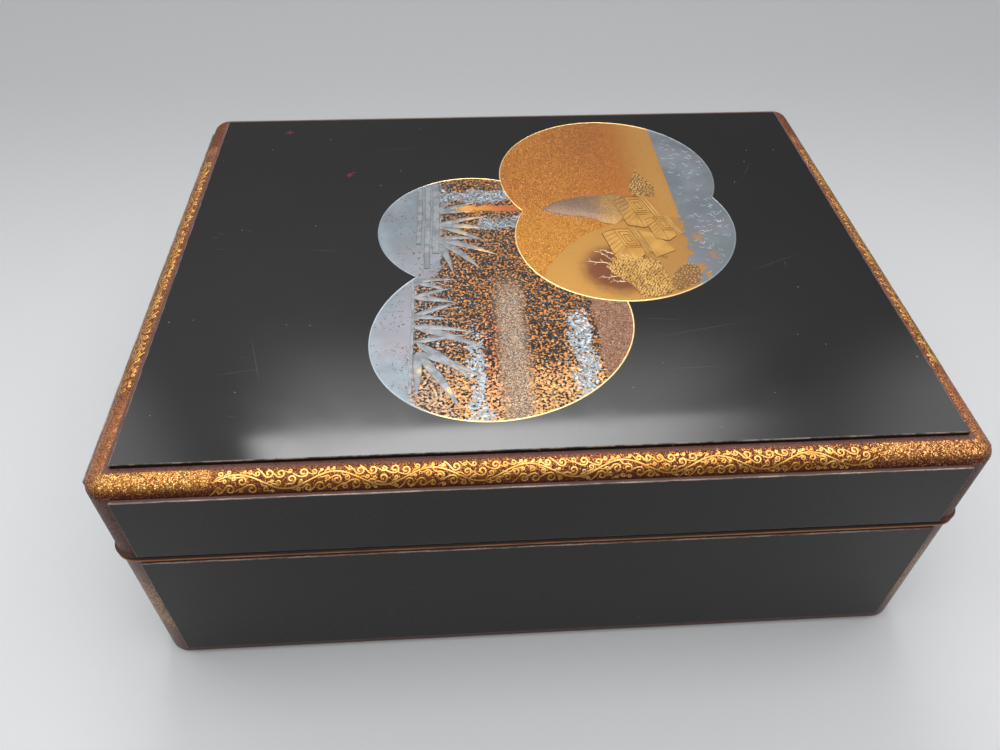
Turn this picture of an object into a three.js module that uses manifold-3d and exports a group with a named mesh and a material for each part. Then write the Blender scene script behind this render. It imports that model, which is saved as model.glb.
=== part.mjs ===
// Lacquered document box: an open base and a lid that lifts off it, both of thin wood under lacquer.
// Flat panels stand a little proud on every face, and rounded rolls run along all the edges between them.
// Millimetres, +Z up. The origin is the middle of the underside and the front face looks toward -Y.
import * as THREE from 'three';
import { mergeVertices } from 'three/addons/utils/BufferGeometryUtils.js';
import Module from 'manifold-3d';

// Overall size, taken over the panels.
const WIDTH = 400;
const DEPTH = 320;
const HEIGHT = 144;
const PARTING_Z = 91.6;

// How far each panel stops short of the box's outer planes.
const TOP_PANEL_MARGIN = 13.3;
const FRONT_PANEL_MARGIN = 13.9;
const SIDE_PANEL_MARGIN = 12.5;
const PANEL_ROOT = 1.5;

// Lid: heights of its panels and roll, and how deep the rolls lie under the outer planes.
const LID_SUNK = 2.0;
const LID_CORNER_CENTRE = 12.2;
const LID_PANEL_BOTTOM_Z = 94.5;
const LID_PANEL_TOP_Z = 134.9;
const TOP_PANEL_RISE = 2.2;
const TOP_ROLL_WIDTH = 9.0;
const LID_CEILING_Z = 134.0;
const LID_WALL_INSIDE = 7.5;

// Base: heights of its panels and floor, and its own depth of roll.
const BASE_SUNK = 1.6;
const BASE_CORNER_CENTRE = 13.6;
const BASE_PANEL_BOTTOM_Z = 6.8;
const BASE_PANEL_TOP_Z = 88.6;
const BASE_FLOOR_Z = 8.0;

// Raised inner lip of the base, which keeps the lid in place.
const LIP_HEIGHT = 6.0;
const LIP_THICKNESS = 2.4;
const LIP_CLEARANCE = 0.4;

// Rim beads: how far they swell out of the sunk wall. The foot is only eased by a quarter-round.
const RIM_BEAD_SWELL = 1.0;
const RIM_BEAD_PINCH = 0.4;
const FOOT_ROUND = 1.5;

// Fineness of the curves.
const CORNER_STEPS = 8;
const ROLL_STEPS = 8;
const BEAD_STEPS = 6;
const FOOT_STEPS = 4;
const INSIDE_CORNER_RADIUS = 2.0;

const wasm = await Module();
wasm.setup();

// One level of the body: a rounded rectangle drawn in from the outer planes by inset.
function outline(inset, radius, z) {
  const points = [];
  const centreX = WIDTH / 2 - inset - radius;
  const centreY = DEPTH / 2 - inset - radius;
  const corners = [[1, 1], [-1, 1], [-1, -1], [1, -1]];
  corners.forEach(([sideX, sideY], quarter) => {
    for (let i = 0; i <= CORNER_STEPS; i += 1) {
      const angle = (quarter + i / CORNER_STEPS) * Math.PI / 2;
      const x = sideX * centreX + radius * Math.cos(angle);
      const y = sideY * centreY + radius * Math.sin(angle);
      points.push(new THREE.Vector3(x, y, z));
    }
  });
  return points;
}

// A closed body through a stack of outlines, lowest first, capped flat at both ends.
function stack(levels) {
  const count = levels[0].length;
  const positions = [];
  const index = [];
  levels.forEach((level) => level.forEach((p) => positions.push(p.x, p.y, p.z)));
  for (let k = 0; k + 1 < levels.length; k += 1) {
    for (let i = 0; i < count; i += 1) {
      const a = k * count + i;
      const b = k * count + (i + 1) % count;
      index.push(a, b, b + count, a, b + count, a + count);
    }
  }
  const bottom = positions.length / 3;
  const top = bottom + 1;
  const last = (levels.length - 1) * count;
  positions.push(0, 0, levels[0][0].z);
  positions.push(0, 0, levels[levels.length - 1][0].z);
  for (let i = 0; i < count; i += 1) {
    const next = (i + 1) % count;
    index.push(bottom, next, i);
    index.push(top, last + i, last + next);
  }
  const geometry = new THREE.BufferGeometry();
  geometry.setAttribute('position', new THREE.Float32BufferAttribute(positions, 3));
  geometry.setIndex(index);
  return geometry;
}

// A box between two corners.
function block(x0, y0, z0, x1, y1, z1) {
  const geometry = new THREE.BoxGeometry(x1 - x0, y1 - y0, z1 - z0);
  return geometry.translate((x0 + x1) / 2, (y0 + y1) / 2, (z0 + z1) / 2);
}

function solid(geometry) {
  const bare = geometry.clone();
  bare.deleteAttribute('normal');
  bare.deleteAttribute('uv');
  const merged = mergeVertices(bare, 1e-5);
  return new wasm.Manifold(new wasm.Mesh({
    numProp: 3,
    vertProperties: new Float32Array(merged.attributes.position.array),
    triVerts: new Uint32Array(merged.index.array),
  }));
}

function toMesh(name, manifold, material) {
  const result = manifold.getMesh();
  const geometry = new THREE.BufferGeometry();
  geometry.setAttribute('position', new THREE.BufferAttribute(result.vertProperties, 3));
  geometry.setIndex(new THREE.BufferAttribute(result.triVerts, 1));
  geometry.computeVertexNormals();
  const mesh = new THREE.Mesh(geometry, material);
  mesh.name = name;
  return mesh;
}

// The levels of a half-round bead that swells out of a sunk wall and is pinched at both ends.
function beadLevels(z0, z1, sunk, swell, pinch, cornerCentre) {
  const levels = [];
  for (let i = 0; i <= BEAD_STEPS; i += 1) {
    const t = i / BEAD_STEPS;
    const inset = sunk + pinch - (swell + pinch) * Math.sin(Math.PI * t);
    levels.push(outline(inset, cornerCentre - inset, z0 + (z1 - z0) * t));
  }
  return levels;
}

// The four wall panels of one half of the box, each rooted a little way into the wall behind it.
function wallPanels(sunk, z0, z1) {
  const halfX = WIDTH / 2;
  const halfY = DEPTH / 2;
  const acrossX = halfX - FRONT_PANEL_MARGIN;
  const acrossY = halfY - SIDE_PANEL_MARGIN;
  const root = sunk + PANEL_ROOT;
  return [
    block(-acrossX, -halfY, z0, acrossX, -halfY + root, z1),
    block(-acrossX, halfY - root, z0, acrossX, halfY, z1),
    block(-halfX, -acrossY, z0, -halfX + root, acrossY, z1),
    block(halfX - root, -acrossY, z0, halfX, acrossY, z1),
  ];
}

// A straight-sided hollow with softly rounded upright corners.
function hollow(inset, z0, z1) {
  return stack([
    outline(inset, INSIDE_CORNER_RADIUS, z0),
    outline(inset, INSIDE_CORNER_RADIUS, z1),
  ]);
}

// Lid: rim bead at the mouth, sunk walls, and a roll that rounds over to the top.
function lidBody() {
  const rollBottom = LID_PANEL_TOP_Z;
  const rollTop = HEIGHT - TOP_PANEL_RISE;
  const levels = beadLevels(
    PARTING_Z, LID_PANEL_BOTTOM_Z, LID_SUNK, RIM_BEAD_SWELL, RIM_BEAD_PINCH, LID_CORNER_CENTRE,
  );
  levels.push(outline(LID_SUNK, LID_CORNER_CENTRE - LID_SUNK, LID_PANEL_BOTTOM_Z + 0.4));
  for (let i = 0; i <= ROLL_STEPS; i += 1) {
    const angle = (i / ROLL_STEPS) * Math.PI / 2;
    const inset = LID_SUNK + TOP_ROLL_WIDTH * (1 - Math.cos(angle));
    const z = rollBottom + (rollTop - rollBottom) * Math.sin(angle);
    levels.push(outline(inset, LID_CORNER_CENTRE - inset, z));
  }
  return stack(levels);
}

function makeLid() {
  let lid = solid(lidBody());
  const topX = WIDTH / 2 - TOP_PANEL_MARGIN;
  const topY = DEPTH / 2 - TOP_PANEL_MARGIN;
  const topRoot = HEIGHT - TOP_PANEL_RISE - PANEL_ROOT;
  lid = lid.add(solid(block(-topX, -topY, topRoot, topX, topY, HEIGHT)));
  wallPanels(LID_SUNK, LID_PANEL_BOTTOM_Z, LID_PANEL_TOP_Z)
    .forEach((panel) => { lid = lid.add(solid(panel)); });
  return lid.subtract(solid(hollow(LID_WALL_INSIDE, PARTING_Z - 5, LID_CEILING_Z)));
}

// The foot of the base: the sunk wall turned in under itself by a small quarter-round.
function footLevels() {
  const levels = [];
  for (let i = 0; i <= FOOT_STEPS; i += 1) {
    const angle = (i / FOOT_STEPS) * Math.PI / 2;
    const inset = BASE_SUNK + FOOT_ROUND * (1 - Math.sin(angle));
    levels.push(outline(inset, BASE_CORNER_CENTRE - inset, FOOT_ROUND * (1 - Math.cos(angle))));
  }
  return levels;
}

// Base: eased foot, sunk walls with panels, rim bead at the mouth, and the inner lip standing above it.
function baseBody() {
  const wallTop = outline(BASE_SUNK, BASE_CORNER_CENTRE - BASE_SUNK, BASE_PANEL_TOP_Z - 0.4);
  const rim = beadLevels(
    BASE_PANEL_TOP_Z, PARTING_Z, BASE_SUNK, RIM_BEAD_SWELL, RIM_BEAD_PINCH, BASE_CORNER_CENTRE,
  );
  return stack([...footLevels(), wallTop, ...rim]);
}

function makeBase() {
  const lipOutside = LID_WALL_INSIDE + LIP_CLEARANCE;
  const baseWallInside = lipOutside + LIP_THICKNESS;
  const lipTop = PARTING_Z + LIP_HEIGHT;
  let base = solid(baseBody());
  base = base.add(solid(hollow(lipOutside, BASE_FLOOR_Z, lipTop)));
  wallPanels(BASE_SUNK, BASE_PANEL_BOTTOM_Z, BASE_PANEL_TOP_Z)
    .forEach((panel) => { base = base.add(solid(panel)); });
  return base.subtract(solid(hollow(baseWallInside, BASE_FLOOR_Z, lipTop + 5)));
}

const blackLacquer = new THREE.MeshStandardMaterial({ color: 0x1b1a1a, roughness: 0.25, metalness: 0.0 });
const darkLacquer = new THREE.MeshStandardMaterial({ color: 0x201e1d, roughness: 0.32, metalness: 0.0 });

const box = new THREE.Group();
box.add(toMesh('base', makeBase(), darkLacquer));
box.add(toMesh('lid', makeLid(), blackLacquer));

export default box;
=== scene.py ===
import functools
import math
import random

import bmesh
import bpy
from mathutils import Matrix, Vector


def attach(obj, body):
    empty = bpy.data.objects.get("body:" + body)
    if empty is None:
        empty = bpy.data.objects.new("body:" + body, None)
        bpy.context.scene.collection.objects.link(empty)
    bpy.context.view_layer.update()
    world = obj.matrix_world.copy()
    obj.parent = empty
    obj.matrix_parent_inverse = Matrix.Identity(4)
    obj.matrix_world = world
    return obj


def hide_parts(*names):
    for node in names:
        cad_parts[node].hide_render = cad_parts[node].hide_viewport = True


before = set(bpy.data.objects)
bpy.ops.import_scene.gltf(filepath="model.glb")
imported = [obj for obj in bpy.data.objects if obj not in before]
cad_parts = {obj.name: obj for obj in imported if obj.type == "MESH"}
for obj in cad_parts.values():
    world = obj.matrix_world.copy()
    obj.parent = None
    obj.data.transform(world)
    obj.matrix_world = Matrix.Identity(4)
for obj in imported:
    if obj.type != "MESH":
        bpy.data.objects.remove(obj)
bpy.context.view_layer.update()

# Base: the open lower half, thin wood under red-brown lacquer strewn with gold flakes.
# The walls are sunk under the panels, the foot is eased, a rounded bead runs round the mouth,
# and an inner lip stands up from it to keep the lid in place.
MM = 0.001
BOX_X, BOX_Y = 200, 160
PARTING = 91.6
BASE_SUNK = 1.6
BASE_CORNER = 12
BASE_WALL_Z = (1.5, 88.2)
CORNER_STEPS = 16
FOOT_STEPS = 5
BEAD_STEPS = 8
BEAD_ROOT = 0.4
BEAD_SWELL = 1.0
BEAD_PINCH = 0.4
LIP_OUTSIDE = 7.9
LIP_THICK = 2.4
LIP_HIGH = 6
BASE_FLOOR = 8
GILDED_Z = (22, 72)
MOUTH_HIGHLIGHT_Z = (PARTING - 1.6, PARTING - 0.9)
CRISP = 38


def clear_bench():
    """Leaves edit mode and deselects everything."""
    if bpy.context.mode != "OBJECT":
        bpy.ops.object.mode_set(mode="OBJECT")
    bpy.ops.object.select_all(action="DESELECT")


def take_up(piece):
    """Makes the piece the active one, and the only one selected."""
    clear_bench()
    piece.select_set(True)
    bpy.context.view_layer.objects.active = piece


def start_block(name, low, high):
    """Adds a cube with these corners in millimetres and leaves it in edit mode, all selected."""
    clear_bench()
    bpy.ops.mesh.primitive_cube_add(size=1.0, location=(0, 0, 0))
    piece = bpy.context.object
    piece.name = piece.data.name = name
    bpy.ops.object.mode_set(mode="EDIT")
    bpy.ops.mesh.select_all(action="SELECT")
    bpy.ops.transform.resize(value=[(b - a) * MM for a, b in zip(low, high)])
    bpy.ops.transform.translate(value=[(a + b) / 2 * MM for a, b in zip(low, high)])
    return piece


def start_plan(name, inset, low, high):
    """A block over the box's whole plan, drawn in by inset, from one height to another."""
    return start_block(name, (inset - BOX_X, inset - BOX_Y, low), (BOX_X - inset, BOX_Y - inset, high))


def pick(piece, kind, test):
    """Selects the faces or edges that pass the test, and nothing else."""
    bpy.ops.mesh.select_mode(type={"faces": "FACE", "edges": "EDGE"}[kind])
    bpy.ops.mesh.select_all(action="DESELECT")
    mesh = bmesh.from_edit_mesh(piece.data)
    for element in getattr(mesh, kind):
        if test(element):
            element.select_set(True)
    bmesh.update_edit_mesh(piece.data)


def soften(width, segments):
    bpy.ops.mesh.bevel(offset=width * MM, segments=segments, profile=0.5, affect="EDGES")


def upright(edge):
    a, b = (v.co for v in edge.verts)
    return (a - b).xy.length < 1e-6


def facing(way):
    return lambda face: face.normal.dot(Vector(way)) > 0.99


def push(distance):
    bpy.ops.mesh.extrude_region_move(TRANSFORM_OT_translate={"value": (0, 0, distance * MM)})


def draw_in(distance, depth=0):
    bpy.ops.mesh.inset(thickness=distance * MM, depth=depth * MM, use_even_offset=True)


def draw_out(distance, inset_from, inset_to):
    """Extrudes the selected end face along Z and draws its outline in or out by millimetres."""
    push(distance)
    wide = (BOX_X - inset_to) / (BOX_X - inset_from)
    deep = (BOX_Y - inset_to) / (BOX_Y - inset_from)
    bpy.ops.transform.resize(value=(wide, deep, 1), center_override=(0, 0, 0))


def run_bead(high, sunk):
    """Runs a half-round bead out of the selected end face, high millimetres along Z."""
    last = sunk
    for i in range(BEAD_STEPS + 1):
        inset = sunk + BEAD_PINCH - (BEAD_SWELL + BEAD_PINCH) * math.sin(math.pi * i / BEAD_STEPS)
        draw_out(BEAD_ROOT * math.copysign(1, high) if i == 0 else high / BEAD_STEPS, last, inset)
        last = inset
    return last


def finish_piece(piece, materials, chosen=None, soft=75, true_flats=False):
    """Gives the piece its materials, smooths it over its soft edges and fixes it to the box."""
    take_up(piece)
    for material in materials:
        piece.data.materials.append(material)
    if chosen:
        for face in piece.data.polygons:
            face.material_index = chosen(face.center / MM, face.normal)
    bpy.ops.object.shade_smooth_by_angle(angle=math.radians(soft))
    if true_flats:
        bpy.ops.object.modifier_add(type="WEIGHTED_NORMAL")
        piece.modifiers[-1].keep_sharp = True
        bpy.ops.object.modifier_apply(modifier=piece.modifiers[-1].name)
    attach(piece, "root")


def feed(node, inputs):
    """Sets the node's inputs, and links those whose value comes from another node."""
    for key, value in inputs.items():
        if isinstance(value, bpy.types.NodeSocket):
            value.id_data.links.new(value, node.inputs[key])
        else:
            node.inputs[key].default_value = value


def spaced(inputs):
    return {key.replace("_", " "): value for key, value in inputs.items()}


def feed_named(node, **inputs):
    feed(node, spaced(inputs))


def knot(kind, inputs, **settings):
    """Adds a node to the tree that its inputs come from, with settings for its own properties."""
    source = next(value for value in inputs.values() if isinstance(value, bpy.types.NodeSocket))
    node = source.id_data.nodes.new(kind)
    for key, value in settings.items():
        setattr(node, key, value)
    feed(node, inputs)
    return node


def calc(operation, *values, **settings):
    return knot("ShaderNodeMath", dict(enumerate(values)), operation=operation, **settings).outputs[0]


def plus(a, b):
    return calc("ADD", a, b)


def minus(a, b):
    return calc("SUBTRACT", a, b)


def times(*values):
    return functools.reduce(functools.partial(calc, "MULTIPLY"), values)


def either(*shares):
    return functools.reduce(functools.partial(calc, "MAXIMUM"), shares)


def vector(operation, *values):
    return knot("ShaderNodeVectorMath", dict(enumerate(values)), operation=operation).outputs


def scaled(value, scale):
    return knot("ShaderNodeVectorMath", {0: value, "Scale": scale}, operation="SCALE").outputs[0]


def ramp(value, start, end, low=0, high=1):
    """A smooth step from low at start to high at end."""
    inputs = {"Value": value, "From Min": start, "From Max": end, "To Min": low, "To Max": high}
    return knot("ShaderNodeMapRange", inputs, interpolation_type="SMOOTHSTEP").outputs[0]


def band(value, start, end, soft):
    """One between start and end, nought outside, with soft borders."""
    return times(ramp(value, start - soft, start + soft), ramp(value, end + soft, end - soft))


def mixed(share, first, second):
    """Two colours, the second by its share."""
    first, second = (c if isinstance(c, bpy.types.NodeSocket) else (*c, 1) for c in (first, second))
    return knot("ShaderNodeMix", {0: share, 6: first, 7: second}, data_type="RGBA").outputs[2]


def cloud(place, scale, detail=2, rough=0.5):
    inputs = {"Vector": place, "Scale": scale, "Detail": detail, "Roughness": rough}
    return knot("ShaderNodeTexNoise", inputs).outputs["Fac"]


def millimetres(place):
    """Distances along the box's own axes, in millimetres."""
    return knot("ShaderNodeSeparateXYZ", {0: scaled(place, 1 / MM)}).outputs


def new_group(name, inputs, outputs):
    """A node group with these sockets; returns it, its inputs and the node that takes its results."""
    group = bpy.data.node_groups.new(name, "ShaderNodeTree")
    for way, sockets in (("INPUT", inputs), ("OUTPUT", outputs)):
        for socket, kind in spaced(sockets).items():
            group.interface.new_socket(name=socket, in_out=way, socket_type="NodeSocket" + kind)
    return group, group.nodes.new("NodeGroupInput").outputs, group.nodes.new("NodeGroupOutput")


def use(group, **inputs):
    return knot("ShaderNodeGroup", spaced(inputs), node_tree=group).outputs


def new_material(name, **inputs):
    """A Principled material with these plain values; returns it, its shader and its coordinates."""
    material = bpy.data.materials.new(name)
    material.use_nodes = True
    nodes = material.node_tree.nodes
    shader = nodes["Principled BSDF"]
    feed_named(shader, **inputs)
    return material, shader, nodes.new("ShaderNodeTexCoord").outputs["Object"]


# Flakes sprinkled into wet lacquer: which spots hold one, how bright each is, and how it tilts.
flakes, given, result = new_group(
    "sprinkled flakes",
    dict(Place="Vector", Per_metre="Float", Cover="Float", Tilt="Float"),
    dict(Flake="Float", Tone="Float", Normal="Vector"),
)
cells = knot("ShaderNodeTexVoronoi", {"Vector": given["Place"], "Scale": given["Per metre"]}).outputs
chance = knot("ShaderNodeSeparateColor", {"Color": cells["Color"]}).outputs
present = calc("LESS_THAN", chance[0], given["Cover"])
lean = scaled(vector("SUBTRACT", cells["Color"], (0.5, 0.5, 0.5))[0], given["Tilt"])
face_normal = flakes.nodes.new("ShaderNodeNewGeometry").outputs["Normal"]
lean = vector("NORMALIZE", vector("ADD", lean, face_normal)[0])[0]
inside = ramp(cells["Distance"], 0.62, 0.46)
feed_named(result, Flake=times(present, inside), Tone=chance[1], Normal=lean)

base_roll, shader, place = new_material("base_roll_lacquer", Roughness=0.42)
z = millimetres(place)[2]
patch = cloud(place, 110, 3)
cover = ramp(patch, 0.3, 0.7, 0.3, 0.68)
bits = use(flakes, Place=place, Per_metre=1900, Cover=cover, Tilt=0.5)
gilded = times(band(z, *GILDED_Z, 10), bits["Flake"])
colour = mixed(patch, (0.080, 0.031, 0.022), (0.135, 0.062, 0.044))
colour = mixed(gilded, colour, (0.60, 0.35, 0.15))
# Painted light on the mouth bead: it is coloured dark brown as painted shade, and a thin copper band along
# its crown is a painted highlight.
colour = mixed(ramp(z, BASE_WALL_Z[1] + 0.1, BASE_WALL_Z[1] + 0.6), colour, (0.030, 0.012, 0.009))
copper_and_highlight = times(band(z, *MOUTH_HIGHLIGHT_Z, 0.25), ramp(cloud(place, 45), 0.3, 0.6, 0.45, 1))
colour = mixed(copper_and_highlight, colour, (0.46, 0.20, 0.09))
feed_named(shader, Base_Color=colour, Metallic=times(either(gilded, copper_and_highlight), 0.8))

inside_lacquer, shader, place = new_material(
    "inside_lacquer", Roughness=0.4, Coat_Weight=0.25, Coat_Roughness=0.16
)
cover = ramp(cloud(place, 90, 3), 0.3, 0.7, 0.08, 0.16)
bits = use(flakes, Place=place, Per_metre=1300, Cover=cover, Tilt=0.55)
colour = mixed(cloud(place, 260, 3), (0.028, 0.014, 0.010), (0.013, 0.006, 0.005))
gold = mixed(bits["Tone"], (0.20, 0.09, 0.03), (0.40, 0.22, 0.08))
colour = mixed(bits["Flake"], colour, gold)
feed_named(shader, Base_Color=colour, Metallic=times(bits["Flake"], 0.9), Normal=bits["Normal"])

base_body = start_plan("base_body", BASE_SUNK, *BASE_WALL_Z)
pick(base_body, "edges", upright)
soften(BASE_CORNER, CORNER_STEPS)
pick(base_body, "faces", facing((0, 0, -1)))
for i in range(FOOT_STEPS):
    this, after = (math.pi / 2 * k / FOOT_STEPS for k in (i, i + 1))
    draw_out(
        BASE_WALL_Z[0] * (math.sin(this) - math.sin(after)),
        BASE_SUNK + BASE_WALL_Z[0] * (1 - math.cos(this)),
        BASE_SUNK + BASE_WALL_Z[0] * (1 - math.cos(after)),
    )
pick(base_body, "faces", facing((0, 0, 1)))
rim_inset = run_bead(PARTING - BASE_WALL_Z[1] - BEAD_ROOT, BASE_SUNK)
draw_in(LIP_OUTSIDE - rim_inset)
push(LIP_HIGH)
draw_in(LIP_THICK)
push(BASE_FLOOR - PARTING - LIP_HIGH)


def looks_inward(middle, normal):
    return normal.x * middle.x + normal.y * middle.y < -1e-6


def base_finish(middle, normal):
    """The flaked lacquer outside, the plain lacquer inside, on the lip and underneath."""
    level = abs(normal.z) > 0.9
    return 1 if level or looks_inward(middle, normal) or middle.z > PARTING - 0.05 else 0


finish_piece(base_body, [base_roll, inside_lacquer], base_finish, CRISP, true_flats=True)
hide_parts("base")

# Base panels: four flat fields of black lacquer built up over the walls, with crisp edges.
# Their upper ledges have worn to the brown under-coat, with a few bright rubbed flecks and a pale outer
# edge that is partly painted highlight.
PANEL_MARGIN = 13.9
SIDE_MARGIN = 12.5
BASE_PANEL_Z = (6.8, 88.6)
PANEL_ROOT = 1.5
PANEL_EDGE = 0.35
EDGE_STEPS = 3

# Wear in polished lacquer: dust caught in the coat, and hazy handling marks.
wear, given, result = new_group(
    "handled lacquer", dict(Place="Vector", Dust="Float"), dict(Speck="Float", Haze="Float")
)
grain = knot("ShaderNodeTexVoronoi", {"Vector": given["Place"], "Scale": 170}).outputs
lucky = knot("ShaderNodeSeparateColor", {"Color": grain["Color"]}).outputs[0]
speck = times(calc("LESS_THAN", lucky, given["Dust"]), ramp(grain["Distance"], 0.07, 0.03))
feed_named(result, Speck=speck, Haze=cloud(given["Place"], 14, 4, 0.6))


def black_lacquer(name, tint, gloss, haze, dust):
    """Polished black lacquer: roughness from gloss to gloss + haze, with dust in it."""
    material, shader, place = new_material(name, IOR=1.38)
    worn = use(wear, Place=place, Dust=dust)
    colour = mixed(worn["Haze"], [c * 0.7 for c in tint], [c * 1.35 for c in tint])
    colour = mixed(times(worn["Speck"], 0.55), colour, (0.5, 0.48, 0.46))
    feed_named(shader, Roughness=ramp(worn["Haze"], 0.35, 0.75, gloss, gloss + haze))
    return material, shader, place, colour


wall_black, shader, place, colour = black_lacquer(
    "wall_black_lacquer", (0.0050, 0.0044, 0.0038), gloss=0.26, haze=0.08, dust=0.05
)
feed_named(shader, Base_Color=colour)

worn_ledge_and_highlight, shader, place = new_material("worn_ledge_and_highlight")
x, y, _ = millimetres(place)
inward = calc("MINIMUM", minus(BOX_X, calc("ABSOLUTE", x)), minus(BOX_Y, calc("ABSOLUTE", y)))
fray = cloud(place, 420, 4, 0.7)
# A pale band along the ledge's outer edge: partly rubbed wear, partly a painted highlight where the edge
# catches the light.
rubbed_and_catch_light = ramp(minus(inward, times(fray, 1.3)), 0.05, -0.25)
patch = cloud(place, 60, 3)
rubbed_and_catch_light = times(rubbed_and_catch_light, ramp(patch, 0.38, 0.58, 0.25, 1))
brown = mixed(patch, (0.075, 0.035, 0.029), (0.14, 0.078, 0.064))
colour = mixed(rubbed_and_catch_light, brown, (0.46, 0.34, 0.27))
feed_named(shader, Base_Color=colour, Roughness=ramp(rubbed_and_catch_light, 0, 1, 0.42, 0.28))

rubbed_edge_and_highlight, shader, place = new_material("rubbed_edge_and_highlight", Roughness=0.35)
# Pale patches on the softened edges: partly thinned lacquer, partly a painted highlight along the edge.
thinned_and_lit = ramp(cloud(place, 130, 4, 0.65), 0.38, 0.62)
feed_named(shader, Base_Color=mixed(thinned_and_lit, (0.035, 0.026, 0.023), (0.25, 0.19, 0.165)))


def soften_all(width):
    bpy.ops.mesh.select_all(action="SELECT")
    soften(width, EDGE_STEPS)


def join_pieces(name, parts):
    take_up(parts[0])
    for part in parts:
        part.select_set(True)
    bpy.ops.object.join()
    parts[0].name = parts[0].data.name = name
    return parts[0]


def wall_panels(name, sunk, z_low, z_high):
    """Four slabs with softened edges, one on each wall, rooted a little way into it."""
    across_x = BOX_X - PANEL_MARGIN
    across_y = BOX_Y - SIDE_MARGIN
    root = sunk + PANEL_ROOT
    corners = [
        ((-across_x, -BOX_Y), (across_x, root - BOX_Y)),
        ((-across_x, BOX_Y - root), (across_x, BOX_Y)),
        ((-BOX_X, -across_y), (root - BOX_X, across_y)),
        ((BOX_X - root, -across_y), (BOX_X, across_y)),
    ]
    slabs = []
    for low, high in corners:
        slabs.append(start_block(name, (*low, z_low), (*high, z_high)))
        soften_all(PANEL_EDGE)
    return join_pieces(name, slabs)


def is_flat(normal):
    return max(abs(part) for part in normal) > 0.97


def panel_finish(middle, normal):
    """Black on the faces, brown on the upper ledge, and a pale line on the softened edges, partly rubbed
    and partly painted highlight.
    """
    if normal.z > 0.75:
        return 1
    return 0 if is_flat(normal) else 2


base_panels = wall_panels("base_panels", BASE_SUNK, *BASE_PANEL_Z)
finish_piece(base_panels, [wall_black, worn_ledge_and_highlight, rubbed_edge_and_highlight], panel_finish, CRISP, true_flats=True)

# Lid: the upper half, one hollow piece that lifts off, its mouth resting on the base's mouth.
# A rounded roll in flaked gold lacquer runs round its top, and the walls are sunk under panels.
LID_SUNK = 2
LID_CORNER = 10.2
LID_WALL_Z = (94.9, 134.9)
TOP = 144
TOP_RISE = 2.2
ROLL_WIDE = 9
ROLL_HIGH = TOP - TOP_RISE - LID_WALL_Z[1]
ROLL_INSIDE = LID_SUNK + ROLL_WIDE
SCROLLED_X, SCROLLED_Y = 144, 108
LID_CEILING = 134
LID_WALL_INSIDE = 7.5
ROLL_STEPS = 20

lid_roll, shader, place = new_material("lid_roll_lacquer", Specular_IOR_Level=0.2)
x, y, z = millimetres(place)
wide_x, wide_y = calc("ABSOLUTE", x), calc("ABSOLUTE", y)
from_end, from_side = minus(BOX_X, wide_x), minus(BOX_Y, wide_y)
inward = calc("MINIMUM", from_end, from_side)
risen = minus(z, LID_WALL_Z[1])
long_roll = calc("GREATER_THAN", from_end, from_side)
short_roll = minus(1, long_roll)
drawn = either(
    times(long_roll, ramp(wide_x, SCROLLED_X + 4, SCROLLED_X - 4)),
    times(short_roll, ramp(wide_y, SCROLLED_Y + 4, SCROLLED_Y - 4)),
)
bare_end = times(short_roll, ramp(y, SCROLLED_Y + 4, SCROLLED_Y + 16))
bare_back = times(long_roll, calc("GREATER_THAN", y, 0), ramp(risen, 2.5, 4.3))
patch = cloud(place, 110, 3)
# Painted light on the roll: toward its crown the ground is lighter and the flakes denser and brighter
# gold, as a painted highlight; low down it is darker red-brown with sparse flakes, as painted shade.
crown = ramp(risen, 1.4, 5.4)
valley = ramp(inward, ROLL_INSIDE - 0.6, ROLL_INSIDE + 0.4)
plain = either(valley, bare_end, bare_back)
cover = times(
    ramp(drawn, 0, 1, 0.74, 0.40), ramp(crown, 0, 1, 0.34, 1),
    ramp(patch, 0.3, 0.7, 0.85, 1.12), ramp(plain, 0, 1, 1, 0.05),
)
bits = use(flakes, Place=place, Per_metre=1800, Cover=cover, Tilt=0.55)
fine_bits = use(flakes, Place=place, Per_metre=2900, Cover=cover, Tilt=0.5)
gilded = either(bits["Flake"], times(fine_bits["Flake"], 0.6))
colour = mixed(crown, (0.045, 0.010, 0.005), (0.13, 0.031, 0.008))
colour = mixed(times(drawn, 0.55), colour, (0.085, 0.019, 0.005))
shaded_gold = mixed(bits["Tone"], (0.24, 0.042, 0.010), (0.52, 0.14, 0.034))
lit_gold = mixed(bits["Tone"], (0.80, 0.26, 0.04), (1, 0.64, 0.20))
copper_and_highlight = mixed(bits["Tone"], (0.44, 0.14, 0.055), (0.90, 0.44, 0.19))
gold = mixed(crown, shaded_gold, lit_gold)
gold = mixed(times(drawn, 0.7), gold, shaded_gold)
gold = mixed(either(short_roll, ramp(x, 110, 190, 0, 0.7)), gold, copper_and_highlight)
colour = mixed(gilded, colour, gold)
dull = mixed(patch, (0.070, 0.028, 0.021), (0.13, 0.060, 0.046))
groove = mixed(patch, (0.11, 0.048, 0.037), (0.19, 0.095, 0.075))
dusty = either(valley, times(bare_back, ramp(from_end, 8, 40)))
colour = mixed(times(dusty, 0.92), colour, groove)
post = ramp(risen, 0, -1.3)
colour = mixed(post, colour, dull)
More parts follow.
